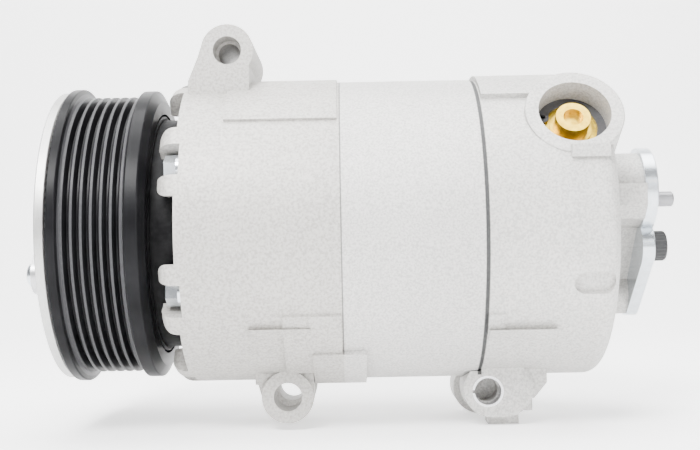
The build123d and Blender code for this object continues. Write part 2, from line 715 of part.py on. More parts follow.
# ================================================================ front head
ear_web_low_z = 46.0
with BuildPart() as front_head:
    turned(
        (nose_front_x, 0),
        (nose_front_x, bearing_bore),
        (bearing_rear_x, bearing_bore),
        (bearing_rear_x, nose_step_radius),
        (nose_base_x, nose_step_radius),
        (nose_base_x, nose_base_radius),
        (head_face_x, nose_base_radius),
        (head_face_x, finger_inner_radius),
        (finger_tip_x, finger_inner_radius),
        (finger_tip_x, body_radius),
        (seam_front_x, body_radius),
        (seam_front_x, 0),
    )
    tips = front_head.edges().filter_by(GeomType.CIRCLE)
    tips = tips.filter_by(lambda edge: abs(edge.radius - body_radius) < 0.01).group_by(Axis.X)[0]
    fillet(tips, finger_round)
    # Gaps between the seven bolt bosses, with rounded outer corners on the fingers.
    gap_planes = [
        facing(half_step + number * 2 * half_step, finger_inner_radius - 2)
        for number in range(bolt_count)
    ]
    with BuildSketch(*gap_planes):
        with BuildLine():
            corner_x = finger_tip_x + gap_corner_round
            wide = gap_half_width + gap_corner_round
            Line((head_face_x, -gap_half_width), (head_face_x, gap_half_width))
            for side in (-1, 1):
                Line((head_face_x, side * gap_half_width), (corner_x, side * gap_half_width))
                CenterArc((corner_x, side * wide), gap_corner_round, -90 * side, -90 * side)
                Line((finger_tip_x, side * wide), (finger_tip_x - 5, side * wide))
            Line((finger_tip_x - 5, -wide), (finger_tip_x - 5, wide))
        make_face()
    extrude(amount=body_radius, mode=Mode.SUBTRACT)
    # Open notches over the bolt heads.
    with BuildSketch(across(finger_tip_x)):
        with PolarLocations(bolt_circle, bolt_count):
            Circle(notch_half_width)
        with PolarLocations(bolt_circle + 10, bolt_count):
            Rectangle(20, 2 * notch_half_width)
    extrude(amount=bolt_seat_x - finger_tip_x, mode=Mode.SUBTRACT)
    # Raised pads and the rib that carries the lowest bolt past the seam.
    sector(top_ear_x, seam_front_x - 1.0, body_radius + pad_rise, case_inner + 2, *top_pad_arc)
    sector(low_ear_x, seam_front_x - 0.6, body_radius + pad_rise, case_inner + 2, *low_pad_arc)
    sector(rib_start_x, seam_front_x, body_radius + rib_rise, case_inner + 2, *rib_arc)
    # Top ear: a long eye across the casting on a flared web.
    with BuildSketch(Plane.XZ.offset(-top_ear_near_y)):
        with Locations((top_ear_x, top_ear_z)):
            Circle(ear_radius)
        Polygon(
            (top_ear_x + 0.82 * ear_radius, top_ear_z),
            (top_ear_x + 0.82 * ear_radius, ear_web_low_z),
            (top_ear_x - 1.5 * ear_radius, ear_web_low_z),
            (top_ear_x - 1.5 * ear_radius, body_radius - 2),
            (top_ear_x - 1.12 * ear_radius, top_ear_z - 2.5),
            (top_ear_x - 0.95 * ear_radius, top_ear_z + 3),
            align=None,
        )
    extrude(amount=-(top_ear_far_y - top_ear_near_y))
    # Bottom ear: two eyes in line, with a blended shoulder up the near side of the casting.
    with BuildSketch(Plane.XZ.offset(-low_ear_near_y), Plane.XZ.offset(-low_ear_far_y)):
        with Locations((low_ear_x, low_ear_z)):
            Circle(ear_radius)
    extrude(amount=-low_ear_length)
    for web_y in (low_ear_near_y + eye_proud, low_ear_far_y):
        with BuildSketch(Plane.XZ.offset(-web_y)):
            Polygon(
                (low_ear_x - ear_radius, low_ear_z),
                (low_ear_x - 1.45 * ear_radius, low_ear_z + 1.6 * ear_radius),
                (low_ear_x + ear_radius, low_ear_z + 1.6 * ear_radius),
                (low_ear_x + ear_radius, low_ear_z),
                align=None,
            )
        extrude(amount=eye_proud - low_ear_length)
    for side in (1, -1):
        with BuildSketch(across(low_ear_x - 1.25 * ear_radius)):
            Polygon(
                (side * low_shoulder_y, low_shoulder_z),
                (side * (low_ear_near_y + 2 * eye_proud), low_shoulder_foot_z),
                (side * (low_ear_near_y + 2 * eye_proud), -body_radius),
                (side * low_gap_y, -body_radius),
                (side * low_gap_y, low_shoulder_z),
                align=None,
            )
        extrude(amount=2.25 * ear_radius)
    # Inside: the crankcase, the bearing seat and the seal bore.
    turned(
        (front_wall_inner_x, thrust_boss_radius),
        (front_wall_inner_x, case_inner),
        (seam_front_x + 1, case_inner),
        (seam_front_x + 1, 0),
        (thrust_seat_x, 0),
        (thrust_seat_x, thrust_boss_radius),
        mode=Mode.SUBTRACT,
    )
    posts(front_wall_inner_x, seam_front_x, bolt_circle, bolt_boss_radius)
    posts(bolt_seat_x, seam_front_x, bolt_circle, bolt_hole, mode=Mode.SUBTRACT)
    ring(nose_front_x, seal_bore_end_x, seal_bore, mode=Mode.SUBTRACT)
    ring(seal_bore_end_x, head_face_x + 1, shaft_passage, mode=Mode.SUBTRACT)
    ring(front_cup_x, thrust_seat_x, cup_outer, mode=Mode.SUBTRACT)
    # Grooves for the spring rings.
    ring(nose_ring_x - 0.05, bearing_front, bearing_bore + 1, bearing_bore - snap_groove_depth,
         mode=Mode.SUBTRACT)
    ring(coil_ring_x - 0.05, coil_base_x, nose_base_radius + 1, nose_base_radius - snap_groove_depth,
         mode=Mode.SUBTRACT)
    ring(-1.6, 0.0, seal_bore + 1.0, mode=Mode.SUBTRACT)
    # Ear bores: the top one is stepped, the bottom one runs through both eyes.
    with BuildSketch(Plane.XZ.offset(-top_ear_near_y)):
        with Locations((top_ear_x, top_ear_z)):
            Circle(ear_bore)
    extrude(amount=-top_ear_step_depth, mode=Mode.SUBTRACT)
    with BuildSketch(Plane.XZ.offset(-top_ear_near_y)):
        with Locations((top_ear_x, top_ear_z)):
            Circle(top_ear_inner_bore)
    extrude(amount=-(top_ear_far_y - top_ear_near_y), mode=Mode.SUBTRACT)
    with BuildSketch(Plane.XZ.offset(-low_ear_near_y)):
        with Locations((low_ear_x, low_ear_z)):
            Circle(ear_bore)
    extrude(amount=-(low_ear_far_y + low_ear_length - low_ear_near_y), mode=Mode.SUBTRACT)
    with BuildSketch(Plane.XZ.offset(-low_gap_y)):
        with Locations((low_ear_x, low_ear_z)):
            Circle(ear_bore + low_ear_relief)
    extrude(amount=low_gap_y - low_ear_far_y, mode=Mode.SUBTRACT)
front_head.part.label = "front_head"
export_step(front_head.part, "parts/front_head.step")

# ================================================================ shaft seal and bearings
seal_hollow_radius = shaft_seal_radius + seal_hollow
lip_radius = shaft_seal_radius + running_clearance
with BuildPart() as shaft_seal:
    outline = [(seal_front_x, seal_bore), (seal_front_x, seal_hollow_radius)]
    for lip_x in (first_lip_x, second_lip_x):
        outline += [
            (lip_x - lip_slope, seal_hollow_radius),
            (lip_x, lip_radius),
            (lip_x + lip_land, lip_radius),
            (lip_x + lip_land + lip_slope / 2, seal_hollow_radius),
        ]
    outline += [(seal_bore_end_x, seal_hollow_radius), (seal_bore_end_x, seal_bore)]
    turned(*outline)
shaft_seal.part.label = "shaft_seal"
export_step(shaft_seal.part, "parts/shaft_seal.step")

with BuildPart() as seal_snap_ring:
    snap_ring(-1.55, seal_bore - 1.8, seal_bore + 0.95)
seal_snap_ring.part.label = "seal_snap_ring"
export_step(seal_snap_ring.part, "parts/seal_snap_ring.step")

# A needle bearing at each end of the shaft: a drawn cup, its rollers and their cage.
cup_stations = {"front": front_cup_x, "rear": rear_cup_x}
for end_name, cup_x in cup_stations.items():
    roller_x = cup_x + (cup_length - needle_length) / 2
    with BuildPart() as needle_cup:
        ring(cup_x, cup_x + cup_length, cup_outer, cup_inner)
    needle_cup.part.label = f"{end_name}_needle_cup"
    export_step(needle_cup.part, f"parts/{end_name}_needle_cup.step")

    with BuildPart() as needle_rollers:
        posts(roller_x, roller_x + needle_length, needle_circle, needle_radius, needle_count)
    needle_rollers.part.label = f"{end_name}_needle_rollers"
    export_step(needle_rollers.part, f"parts/{end_name}_needle_rollers.step")

    with BuildPart() as needle_cage:
        ring(cup_x + 0.3, cup_x + cup_length - 0.3, needle_circle + 0.6, needle_circle - 0.6)
        posts(roller_x - 0.1, roller_x + needle_length + 0.1, needle_circle,
              needle_radius + running_clearance, needle_count, mode=Mode.SUBTRACT)
    needle_cage.part.label = f"{end_name}_needle_cage"
    export_step(needle_cage.part, f"parts/{end_name}_needle_cage.step")

# The thrust bearing takes the push of the pistons between the rotor and the front head.
with BuildPart() as front_thrust_race:
    ring(thrust_seat_x, thrust_seat_x + thrust_race_thickness, thrust_race_outer, thrust_race_inner)
front_thrust_race.part.label = "front_thrust_race"
export_step(front_thrust_race.part, "parts/front_thrust_race.step")

thrust_planes = [
    facing(number * 360 / thrust_roller_count, thrust_roller_inner)
    for number in range(thrust_roller_count)
]
with BuildPart() as front_thrust_rollers:
    with BuildSketch(*thrust_planes):
        with Locations((thrust_roller_x, 0)):
            Circle(thrust_roller_radius)
    extrude(amount=thrust_roller_length)
front_thrust_rollers.part.label = "front_thrust_rollers"
export_step(front_thrust_rollers.part, "parts/front_thrust_rollers.step")

with BuildPart() as front_thrust_cage:
    ring(thrust_roller_x - thrust_cage_thickness / 2, thrust_roller_x + thrust_cage_thickness / 2,
         thrust_roller_inner + thrust_roller_length + 1, thrust_roller_inner - 1)
    with BuildSketch(*thrust_planes):
        with Locations((thrust_roller_x, 0)):
            Circle(thrust_roller_radius + running_clearance)
    extrude(amount=thrust_roller_length + 0.1, mode=Mode.SUBTRACT)
front_thrust_cage.part.label = "front_thrust_cage"
export_step(front_thrust_cage.part, "parts/front_thrust_cage.step")

# ================================================================ shaft, rotor, swash plate
with BuildPart() as shaft:
    turned(
        (shaft_front_x, 0),
        (shaft_front_x, shaft_end_radius),
        (hub_barrel_end_x, shaft_end_radius),
        (hub_barrel_end_x, shaft_seal_radius),
        (seal_bore_end_x + 6, shaft_seal_radius),
        (seal_bore_end_x + 7, shaft_radius),
        (shaft_end_x - 1, shaft_radius),
        (shaft_end_x, shaft_radius - 1),
        (shaft_end_x, 0),
    )
    ring(shaft_front_x, flange_front_x + hub_bolt_length + 1, hub_bolt_radius + thread_clearance,
         mode=Mode.SUBTRACT)
shaft.part.label = "shaft"
export_step(shaft.part, "parts/shaft.step")

# The lug rotor is fixed to the shaft; its fork drives the swash plate through the hinge pin.
fork_gap = hinge_tongue_half + hinge_side_gap
fork_centre = fork_gap + fork_thickness / 2
with BuildPart() as lug_rotor:
    ring(rotor_front_x, rotor_rear_x, rotor_radius, shaft_radius)
    ring(rotor_rear_x, rotor_rear_x + 1.5, shaft_radius + 6.5, shaft_radius)
    with BuildSketch(Plane.XZ):
        with Locations((hinge_x - 3.0, hinge_z)):
            Rectangle(2 * (hinge_x - 3.0 - rotor_rear_x + 1), 2 * hinge_arm_half_height)
    extrude(amount=fork_gap + fork_thickness, both=True)
    with BuildSketch(Plane.XZ):
        with Locations((hinge_x + 10, hinge_z)):
            Rectangle(2 * (hinge_x + 10 - rotor_rear_x), 4 * hinge_arm_half_height)
    extrude(amount=fork_gap, both=True, mode=Mode.SUBTRACT)
    with BuildSketch(Plane.XZ):
        with Locations((hinge_x, hinge_z)):
            SlotCenterToCenter(1.6, 2 * (hinge_pin_radius + running_clearance), rotation=90)
    extrude(amount=fork_gap + fork_thickness, both=True, mode=Mode.SUBTRACT)
    # A counterweight rim opposite the fork.
    sector(rotor_rear_x, rotor_rear_x + 5, rotor_radius, rotor_radius - balance_width, *balance_arc)
lug_rotor.part.label = "lug_rotor"
export_step(lug_rotor.part, "parts/lug_rotor.step")

with BuildPart() as hinge_pin:
    with BuildSketch(Plane.XZ):
        with Locations((hinge_x, hinge_z)):
            Circle(hinge_pin_radius)
    extrude(amount=fork_gap + fork_thickness, both=True)
hinge_pin.part.label = "hinge_pin"
export_step(hinge_pin.part, "parts/hinge_pin.step")

# The swash plate, square to the shaft: the position of no delivery.
swash_bore = shaft_radius + swash_bore_clearance
with BuildPart() as swash_plate:
    ring(swash_front_x, swash_rear_x, swash_radius, swash_bore)
    ring(plate_centre_x - swash_hub_length / 2, plate_centre_x + swash_hub_length / 2,
         swash_hub_radius, swash_bore)
    with BuildSketch(Plane.XZ):
        with Locations((hinge_x, hinge_z)):
            Circle(hinge_arm_half_height)
        with Locations(((hinge_x + swash_front_x + 1) / 2, hinge_z)):
            Rectangle(swash_front_x + 1 - hinge_x, 2 * hinge_arm_half_height)
        with Locations((hinge_x, hinge_z)):
            Circle(hinge_pin_radius, mode=Mode.SUBTRACT)
    extrude(amount=hinge_tongue_half, both=True)
    ring(hinge_x - 10, plate_centre_x - swash_hub_length / 2, spring_radius + spring_wire + 0.8,
         mode=Mode.SUBTRACT)
swash_plate.part.label = "swash_plate"
export_step(swash_plate.part, "parts/swash_plate.step")

# The spring that pushes the swash plate square when the pressure lets it.
spring_start_x = rotor_rear_x + 1.5 + spring_wire + 0.05
spring_end_x = plate_centre_x - swash_hub_length / 2 - spring_wire - 0.05
with BuildPart() as destroke_spring:
    with BuildLine() as coil_line:
        Helix(
            pitch=(spring_end_x - spring_start_x) / spring_turns,
            height=spring_end_x - spring_start_x,
            radius=spring_radius,
            center=(spring_start_x, 0, 0),
            direction=(1, 0, 0),
        )
    with BuildSketch(coil_line.line ^ 0):
        Circle(spring_wire)
    sweep(is_frenet=True)
destroke_spring.part.label = "destroke_spring"
export_step(destroke_spring.part, "parts/destroke_spring.step")

# ================================================================ pistons and shoes
# Each piston straddles the rim of the swash plate and holds two ball-backed shoes.
for number in range(bolt_count):
    direction = radians(half_step + number * 2 * half_step)
    out = Vector(0, cos(direction), sin(direction))
    centre = out * cylinder_circle

    def piston_plane(station, centre=centre, out=out):
        """The plane across one cylinder at a station, its first axis pointing outward."""
        return Plane(origin=centre + Vector(station, 0, 0), x_dir=out, z_dir=(1, 0, 0))

    with BuildPart() as piston:
        with BuildSketch(piston_plane(piston_skirt_x)):
            Circle(cylinder_radius - piston_clearance)
        extrude(amount=seam_rear_x - crown_gap - piston_skirt_x)
        with BuildSketch(piston_plane(tail_rear_x - 1)):
            with Locations(((neck_inner + neck_outer) / 2, 0)):
                Rectangle(neck_outer - neck_inner, 2 * neck_half_width)
        extrude(amount=piston_skirt_x - tail_rear_x + 2)
        with BuildSketch(piston_plane(tail_front_x)):
            with Locations(((tail_inner + tail_outer) / 2, 0)):
                Rectangle(tail_outer - tail_inner, 2 * tail_half_width)
        extrude(amount=tail_rear_x - tail_front_x)
        with BuildSketch(piston_plane(swash_front_x - 0.5)):
            with Locations((bridge_inner - 20, 0)):
                Rectangle(40, 2 * tail_half_width + 2)
        extrude(amount=swash_thickness + 1.0, mode=Mode.SUBTRACT)
        with Locations(centre + Vector(plate_centre_x, 0, 0)):
            Sphere(shoe_radius + running_clearance, mode=Mode.SUBTRACT)
    piston.part.label = f"piston_{number + 1}"
    export_step(piston.part, f"parts/piston_{number + 1}.step")

shoe_face = swash_thickness / 2 + shoe_clearance
shoe_edge = degrees(asin(shoe_face / shoe_radius))
with BuildPart() as piston_shoes:
    shoe_centres = [
        (
            plate_centre_x,
            cylinder_circle * cos(radians(half_step * (2 * number + 1))),
            cylinder_circle * sin(radians(half_step * (2 * number + 1))),
        )
        for number in range(bolt_count)
    ]
    with Locations(*shoe_centres):
        for side in (-1, 1):
            Sphere(
                shoe_radius,
                arc_size1=shoe_edge,
                arc_size2=90,
                rotation=(0, 90 * side, 0),
                align=None,
            )
piston_shoes.part.label = "piston_shoes"
export_step(piston_shoes.part, "parts/piston_shoes.step")

# ================================================================ cylinder block
case_seal_circle = (bolt_circle + bolt_hole + body_radius) / 2
case_seal_wire = 0.75
with BuildPart() as cylinder_block:
    ring(seam_front_x, seam_rear_x, body_radius)
    sector(seam_front_x, rib_end_x, body_radius + rib_rise, case_inner + 2, *rib_arc)
    ring(seam_front_x, block_hollow_x, case_inner, mode=Mode.SUBTRACT)
    posts(seam_front_x, block_hollow_x, bolt_circle, bolt_boss_radius)
    posts(seam_front_x, seam_rear_x, bolt_circle, bolt_hole, mode=Mode.SUBTRACT)
    posts(block_hollow_x - 1, seam_rear_x, cylinder_circle, cylinder_radius, turn=half_step,
          mode=Mode.SUBTRACT)
    ring(block_hollow_x, rear_cup_x, shaft_passage, mode=Mode.SUBTRACT)
    ring(rear_cup_x, rear_cup_x + cup_length, cup_outer, mode=Mode.SUBTRACT)
    ring(rear_cup_x + cup_length, seam_rear_x, cup_outer - 2, mode=Mode.SUBTRACT)
    ring(seam_front_x, seam_front_x + 2 * case_seal_wire, case_seal_circle + 0.95,
         case_seal_circle - 0.95, mode=Mode.SUBTRACT)
cylinder_block.part.label = "cylinder_block"
export_step(cylinder_block.part, "parts/cylinder_block.step")

with BuildPart() as case_seal:
    with Locations((seam_front_x + case_seal_wire, 0, 0)):
        Torus(case_seal_circle, case_seal_wire, rotation=(0, 90, 0))
case_seal.part.label = "case_seal"
export_step(case_seal.part, "parts/case_seal.step")

# ================================================================ valve pack
with BuildPart() as cylinder_gasket:
    ring(seam_rear_x, suction_reed_x, body_radius - gasket_setback)
    posts(seam_rear_x, suction_reed_x, bolt_circle, bolt_hole, mode=Mode.SUBTRACT)
    posts(seam_rear_x, suction_reed_x, cylinder_circle, cylinder_radius, turn=half_step,
          mode=Mode.SUBTRACT)
    ring(seam_rear_x, suction_reed_x, cup_outer - 2, mode=Mode.SUBTRACT)
cylinder_gasket.part.label = "cylinder_gasket"
export_step(cylinder_gasket.part, "parts/cylinder_gasket.step")

# Reed plates: thin spring steel with a tongue cut free over each port.
reed_plates = {
    "suction_reed_plate": (suction_reed_x, suction_hole_circle, suction_hole_radius),
    "discharge_reed_plate": (discharge_reed_x, discharge_hole_circle, discharge_hole_radius),
}
for plate_name, (reed_x, reed_circle, port_radius) in reed_plates.items():
    tongue = port_radius + 1.2
    with BuildPart() as reed_plate:
        ring(reed_x, reed_x + reed_thickness, pack_radius)
        posts(reed_x, reed_x + reed_thickness, bolt_circle, bolt_hole, mode=Mode.SUBTRACT)
        with BuildSketch(across(reed_x)):
            with PolarLocations(reed_circle, bolt_count, start_angle=half_step):
                Circle(tongue + reed_slit)
                Circle(tongue, mode=Mode.SUBTRACT)
            with PolarLocations(reed_circle - tongue, bolt_count, start_angle=half_step):
                Rectangle(2 * tongue, 2 * tongue - 1.6, mode=Mode.SUBTRACT)
        extrude(amount=reed_thickness, mode=Mode.SUBTRACT)
    reed_plate.part.label = plate_name
    export_step(reed_plate.part, f"parts/{plate_name}.step")

with BuildPart() as valve_plate:
    ring(valve_plate_x, discharge_reed_x, pack_radius)
    posts(valve_plate_x, discharge_reed_x, bolt_circle, bolt_hole, mode=Mode.SUBTRACT)
    posts(valve_plate_x, discharge_reed_x, suction_hole_circle, suction_hole_radius,
          turn=half_step, mode=Mode.SUBTRACT)
    posts(valve_plate_x, discharge_reed_x, discharge_hole_circle, discharge_hole_radius,
          turn=half_step, mode=Mode.SUBTRACT)
valve_plate.part.label = "valve_plate"
export_step(valve_plate.part, "parts/valve_plate.step")

with BuildPart() as retainer_gasket:
    ring(retainer_x, rear_floor_x, pack_radius)
    posts(retainer_x, rear_floor_x, bolt_circle, bolt_hole, mode=Mode.SUBTRACT)
    posts(retainer_x, rear_floor_x, suction_hole_circle, suction_hole_radius - 0.4,
          turn=half_step, mode=Mode.SUBTRACT)
    posts(retainer_x, rear_floor_x, discharge_hole_circle - 10, discharge_hole_radius - 0.6,
          turn=half_step, mode=Mode.SUBTRACT)
retainer_gasket.part.label = "retainer_gasket"
export_step(retainer_gasket.part, "parts/retainer_gasket.step")

# ================================================================ rear head
pocket_out = Vector(0, -cos(radians(pocket_tilt)), sin(radians(pocket_tilt)))
pocket_rim = Vector(pocket_x, pocket_y, pocket_z)


def pocket_plane(depth):
    """The plane across the valve pocket at a depth below its rim, facing out of the pocket."""
    return Plane(origin=pocket_rim - pocket_out * depth, x_dir=(1, 0, 0), z_dir=pocket_out)


rear_face_x = suction_reed_x
pedestal_front_x = rear_face_x + 0.8
with BuildPart() as rear_head:
    ring(rear_face_x, rear_end_x, body_radius - rear_wall_setback)
    rear_edges = rear_head.edges().filter_by(GeomType.CIRCLE).group_by(Axis.X)[-1]
    fillet(rear_edges, rear_edge_round)
    sector(rear_face_x + 0.8, rear_end_x - rear_edge_round, body_radius + saddle_rise,
           suction_chamber, *saddle_arc)
    sector(rear_face_x, patch_end_x, body_radius + patch_rise, suction_chamber, *patch_arc)
    # Valve pocket boss, leaning towards the top.
    with BuildSketch(pocket_plane(0)):
        Circle(pocket_boss_radius)
    extrude(amount=-valve_bore_depth / 2)
    fillet(rear_head.edges().filter_by(lambda edge: abs((edge.center() - pocket_rim).dot(pocket_out))
                                       < 0.01), pocket_boss_setback)
    # The ledge below the pocket.
    with BuildSketch(Plane.XZ.offset(-ledge_near_y)):
        with Locations((ledge_start_x, ledge_low_z)):
            Rectangle(ledge_end_x - ledge_start_x, ledge_height, align=Align.MIN)
    extrude(amount=-ledge_length)
    # Ports: two round bosses and the block beside the upper one.
    with BuildSketch(across(rear_end_x - 8)):
        with Locations((upper_port_y, upper_port_z)):
            Circle(upper_boss_radius)
        with Locations((lower_port_y, lower_port_z)):
            Circle(lower_boss_radius)
        Polygon(
            (upper_port_y, port_block_top_z),
            (port_block_near_y, port_block_top_z),
            (port_block_near_y, port_block_low_z + 4),
            (port_block_near_y + 5, port_block_low_z - 1),
            (upper_port_y, port_block_low_z - 4),
            align=None,
        )
        Polygon(
            (upper_port_y + 6, upper_port_z - 12),
            (lower_port_y + lower_boss_radius - 2, lower_port_z + 6),
            (lower_port_y - 4, lower_port_z + 2),
            (upper_port_y - 4, upper_port_z - 12),
            align=None,
        )
    extrude(amount=port_face_x - rear_end_x + 8)
    # Rear-bottom ear: two oval eyes in line and the pedestal that carries them.
    with BuildSketch(Plane.XZ.offset(-rear_ear_near_y)):
        with Locations((rear_ear_x, rear_ear_z)):
            SlotOverall(2 * rear_ear_half_length, 2 * rear_ear_half_height)
    extrude(amount=-rear_ear_length)
    with BuildSketch(Plane.XZ.offset(-(rear_ear_near_y + eye_proud))):
        Polygon(
            (pedestal_front_x, pedestal_top_z),
            (pedestal_end_x, pedestal_top_z),
            (pedestal_end_x, pedestal_corner_z),
            (pedestal_foot_x, pedestal_low_z),
            (pedestal_front_x, pedestal_low_z),
            align=None,
        )
    extrude(amount=eye_proud - rear_ear_length)
    with BuildSketch(Plane.XZ.offset(-far_eye_near_y)):
        with Locations((rear_hole_x, rear_hole_z - far_eye_drop)):
            Circle(rear_ear_half_height)
        Polygon(
            (pedestal_front_x, pedestal_top_z - 12),
            (far_eye_end_x, pedestal_top_z - 12),
            (far_eye_end_x - 2, rear_hole_z - 8.6),
            (rear_hole_x, rear_hole_z - far_eye_drop - rear_ear_half_height + 1.2),
            align=None,
        )
    extrude(amount=-rear_ear_length)
    with BuildSketch(across(pedestal_front_x)):
        Polygon(
            (pedestal_near_y, pedestal_top_z),
            (rear_ear_near_y + 2 * eye_proud, low_shoulder_foot_z),
            (rear_ear_near_y + 2 * eye_proud, -body_radius),
            (rear_ear_near_y + rear_ear_length, -body_radius),
            (rear_ear_near_y + rear_ear_length, pedestal_top_z),
            align=None,
        )
    extrude(amount=pedestal_length)
    for near_y, (start_x, end_x, low_z) in ((foot_near_y, foot_block), (foot_pad_near_y, foot_pad)):
        with BuildSketch(Plane.XZ.offset(-near_y)):
            with Locations((start_x, low_z)):
                Rectangle(end_x - start_x, rear_ear_z - low_z, align=Align.MIN)
        extrude(amount=-foot_length)
    # The eyes reach forward under the block, so they are cut clear of it.
    ring(rear_face_x - 12, rear_face_x, body_radius + 0.4, mode=Mode.SUBTRACT)
    # Inside: seat of the valve pack, the two chambers, and the bolt holes.
    ring(rear_face_x, rear_floor_x, pack_radius, mode=Mode.SUBTRACT)
    ring(rear_floor_x, chamber_end_x, discharge_chamber, mode=Mode.SUBTRACT)
    ring(rear_floor_x, chamber_end_x, suction_chamber, discharge_chamber + chamber_wall,
         mode=Mode.SUBTRACT)
    with BuildSketch(pocket_plane(valve_bore_depth + 3)):
        Circle(valve_bore + valve_tube_wall)
    extrude(amount=valve_bore_depth + 3 - pocket_depth)
    posts(rear_face_x - 12, bolt_depth_x + 2, bolt_circle, bolt_radius + thread_clearance,
          mode=Mode.SUBTRACT)
    with BuildSketch(across(chamber_end_x - 2)):
        with Locations((upper_port_y, upper_port_z)):
            Circle(upper_port_radius)
        with Locations((lower_port_y, lower_port_z)):
            Circle(lower_port_radius)
    extrude(amount=port_face_x - chamber_end_x + 2, mode=Mode.SUBTRACT)
    # The pocket, the valve bore below it and the groove for its spring ring.
    with BuildSketch(pocket_plane(-pocket_boss_radius)):
        Circle(pocket_radius)
    extrude(amount=-(pocket_boss_radius + pocket_depth), mode=Mode.SUBTRACT)
    with BuildSketch(pocket_plane(0)):
        Circle(valve_bore + valve_clearance)
    extrude(amount=-valve_bore_depth, mode=Mode.SUBTRACT)
    with BuildSketch(pocket_plane(circlip_depth - 0.05)):
        Circle(pocket_radius + circlip_groove)
    extrude(amount=-(circlip_thickness + 0.1), mode=Mode.SUBTRACT)
    # A long shallow scallop low on the near side.
    with BuildSketch(facing(scallop_direction, body_radius - scallop_depth)):
        with Locations((scallop_centre_x, 0)):
            SlotOverall(scallop_length, scallop_width)
    extrude(amount=2 * scallop_depth, mode=Mode.SUBTRACT)
    # The eye bore: a smooth mouth for the bush and a thread behind it.
    for radius, depth in ((bush_radius, bush_length), (rear_thread_radius, rear_hole_depth)):
        with BuildSketch(Plane.XZ.offset(-rear_ear_near_y)):
            with Locations((rear_hole_x, rear_hole_z)):
                Circle(radius)
        extrude(amount=-depth, mode=Mode.SUBTRACT)
rear_head.part.label = "rear_head"
export_step(rear_head.part, "parts/rear_head.step")

# The split spring bush in the mouth of the rear eye.
with BuildPart() as ear_bush:
    with BuildSketch(Plane.XZ.offset(-rear_ear_near_y)):
        with Locations((rear_hole_x, rear_hole_z)):
            Circle(bush_radius)
            Circle(bush_bore, mode=Mode.SUBTRACT)
        with Locations((rear_hole_x - bush_radius, rear_hole_z)):
            Rectangle(bush_radius, bush_slit, mode=Mode.SUBTRACT)
    extrude(amount=-bush_length)
ear_bush.part.label = "ear_bush"
export_step(ear_bush.part, "parts/ear_bush.step")

# ================================================================ bolts
with BuildPart() as through_bolts:
    posts(bolt_seat_x, bolt_depth_x, bolt_circle, bolt_radius)
    posts(bolt_seat_x - bolt_washer_height, bolt_seat_x, bolt_circle, bolt_washer_radius)
    with BuildSketch(across(bolt_head_x)):
        with PolarLocations(bolt_circle, bolt_count):
            RegularPolygon(bolt_head_flats / 2, 6, major_radius=False)
            Circle(bolt_dimple_radius, mode=Mode.SUBTRACT)
    extrude(amount=bolt_head_height)
    posts(bolt_head_x + bolt_dimple_depth, bolt_seat_x, bolt_circle, bolt_dimple_radius)
through_bolts.part.label = "through_bolts"
export_step(through_bolts.part, "parts/through_bolts.step")

# ================================================================ control valve
seal_depths = (pocket_depth + 6, pocket_depth + 13, pocket_depth + 20)
seal_groove = 1.7
with BuildPart() as control_valve:
    with BuildSketch(pocket_plane(valve_bore_depth - 1)):
        Circle(valve_bore)
    extrude(amount=valve_bore_depth - 1 - valve_top_depth)
    with BuildSketch(pocket_plane(valve_top_depth)):
        Circle(valve_head_radius + valve_collar)
    extrude(amount=valve_collar)
    with BuildSketch(pocket_plane(valve_top_depth)):
        Circle(valve_head_radius)
    extrude(amount=valve_collar + valve_head_height)
    with BuildSketch(pocket_plane(valve_top_depth - valve_collar - valve_head_height)):
        Circle(valve_recess_radius)
    extrude(amount=-valve_recess_depth, mode=Mode.SUBTRACT)
    for depth in seal_depths:
        with BuildSketch(pocket_plane(depth)):
            Circle(valve_bore + 1)
            Circle(valve_bore - seal_groove, mode=Mode.SUBTRACT)
        extrude(amount=2 * seal_groove, mode=Mode.SUBTRACT)
control_valve.part.label = "control_valve"
export_step(control_valve.part, "parts/control_valve.step")

with BuildPart() as valve_seals:
    for depth in seal_depths:
        with Locations(pocket_plane(depth - seal_groove)):
            Torus(valve_bore + valve_clearance - seal_groove / 2 - 0.05, seal_groove / 2)
valve_seals.part.label = "valve_seals"
export_step(valve_seals.part, "parts/valve_seals.step")

with BuildPart() as valve_circlip:
    with BuildSketch(pocket_plane(circlip_depth + circlip_thickness)):
        Circle(pocket_radius + circlip_groove - 0.05)
        Circle(pocket_radius - circlip_width, mode=Mode.SUBTRACT)
        with Locations((-pocket_radius, 0)):
            Rectangle(pocket_radius, 7.0, mode=Mode.SUBTRACT)
        for side in (-1, 1):
            with Locations((-pocket_radius + 3.4, side * 4.9)):
                Circle(2.3)
            with Locations((-pocket_radius + 3.4, side * 4.9)):
                Circle(0.9, mode=Mode.SUBTRACT)
    extrude(amount=circlip_thickness)
valve_circlip.part.label = "valve_circlip"
export_step(valve_circlip.part, "parts/valve_circlip.step")

# ================================================================ port plate
with BuildPart() as port_plate:
    with BuildSketch(across(port_face_x)):
        with Locations((upper_port_y, upper_port_z)):
            Circle(port_plate_radius)
        with BuildSketch(mode=Mode.PRIVATE) as arm:
            with Locations((cap_y, cap_z)):
                Circle(port_lobe_radius)
            with Locations((lower_port_y, lower_port_z)):
                Circle(port_arm_radius)
            make_hull()
        add(arm.sketch)
        with Locations((stud_y, stud_z)):
            Circle(stud_root_radius + press_fit, mode=Mode.SUBTRACT)
    extrude(amount=port_plate_thickness)
    chamfer(port_plate.edges().group_by(Axis.X)[-1], 0.5)
port_plate.part.label = "port_plate"
export_step(port_plate.part, "parts/port_plate.step")

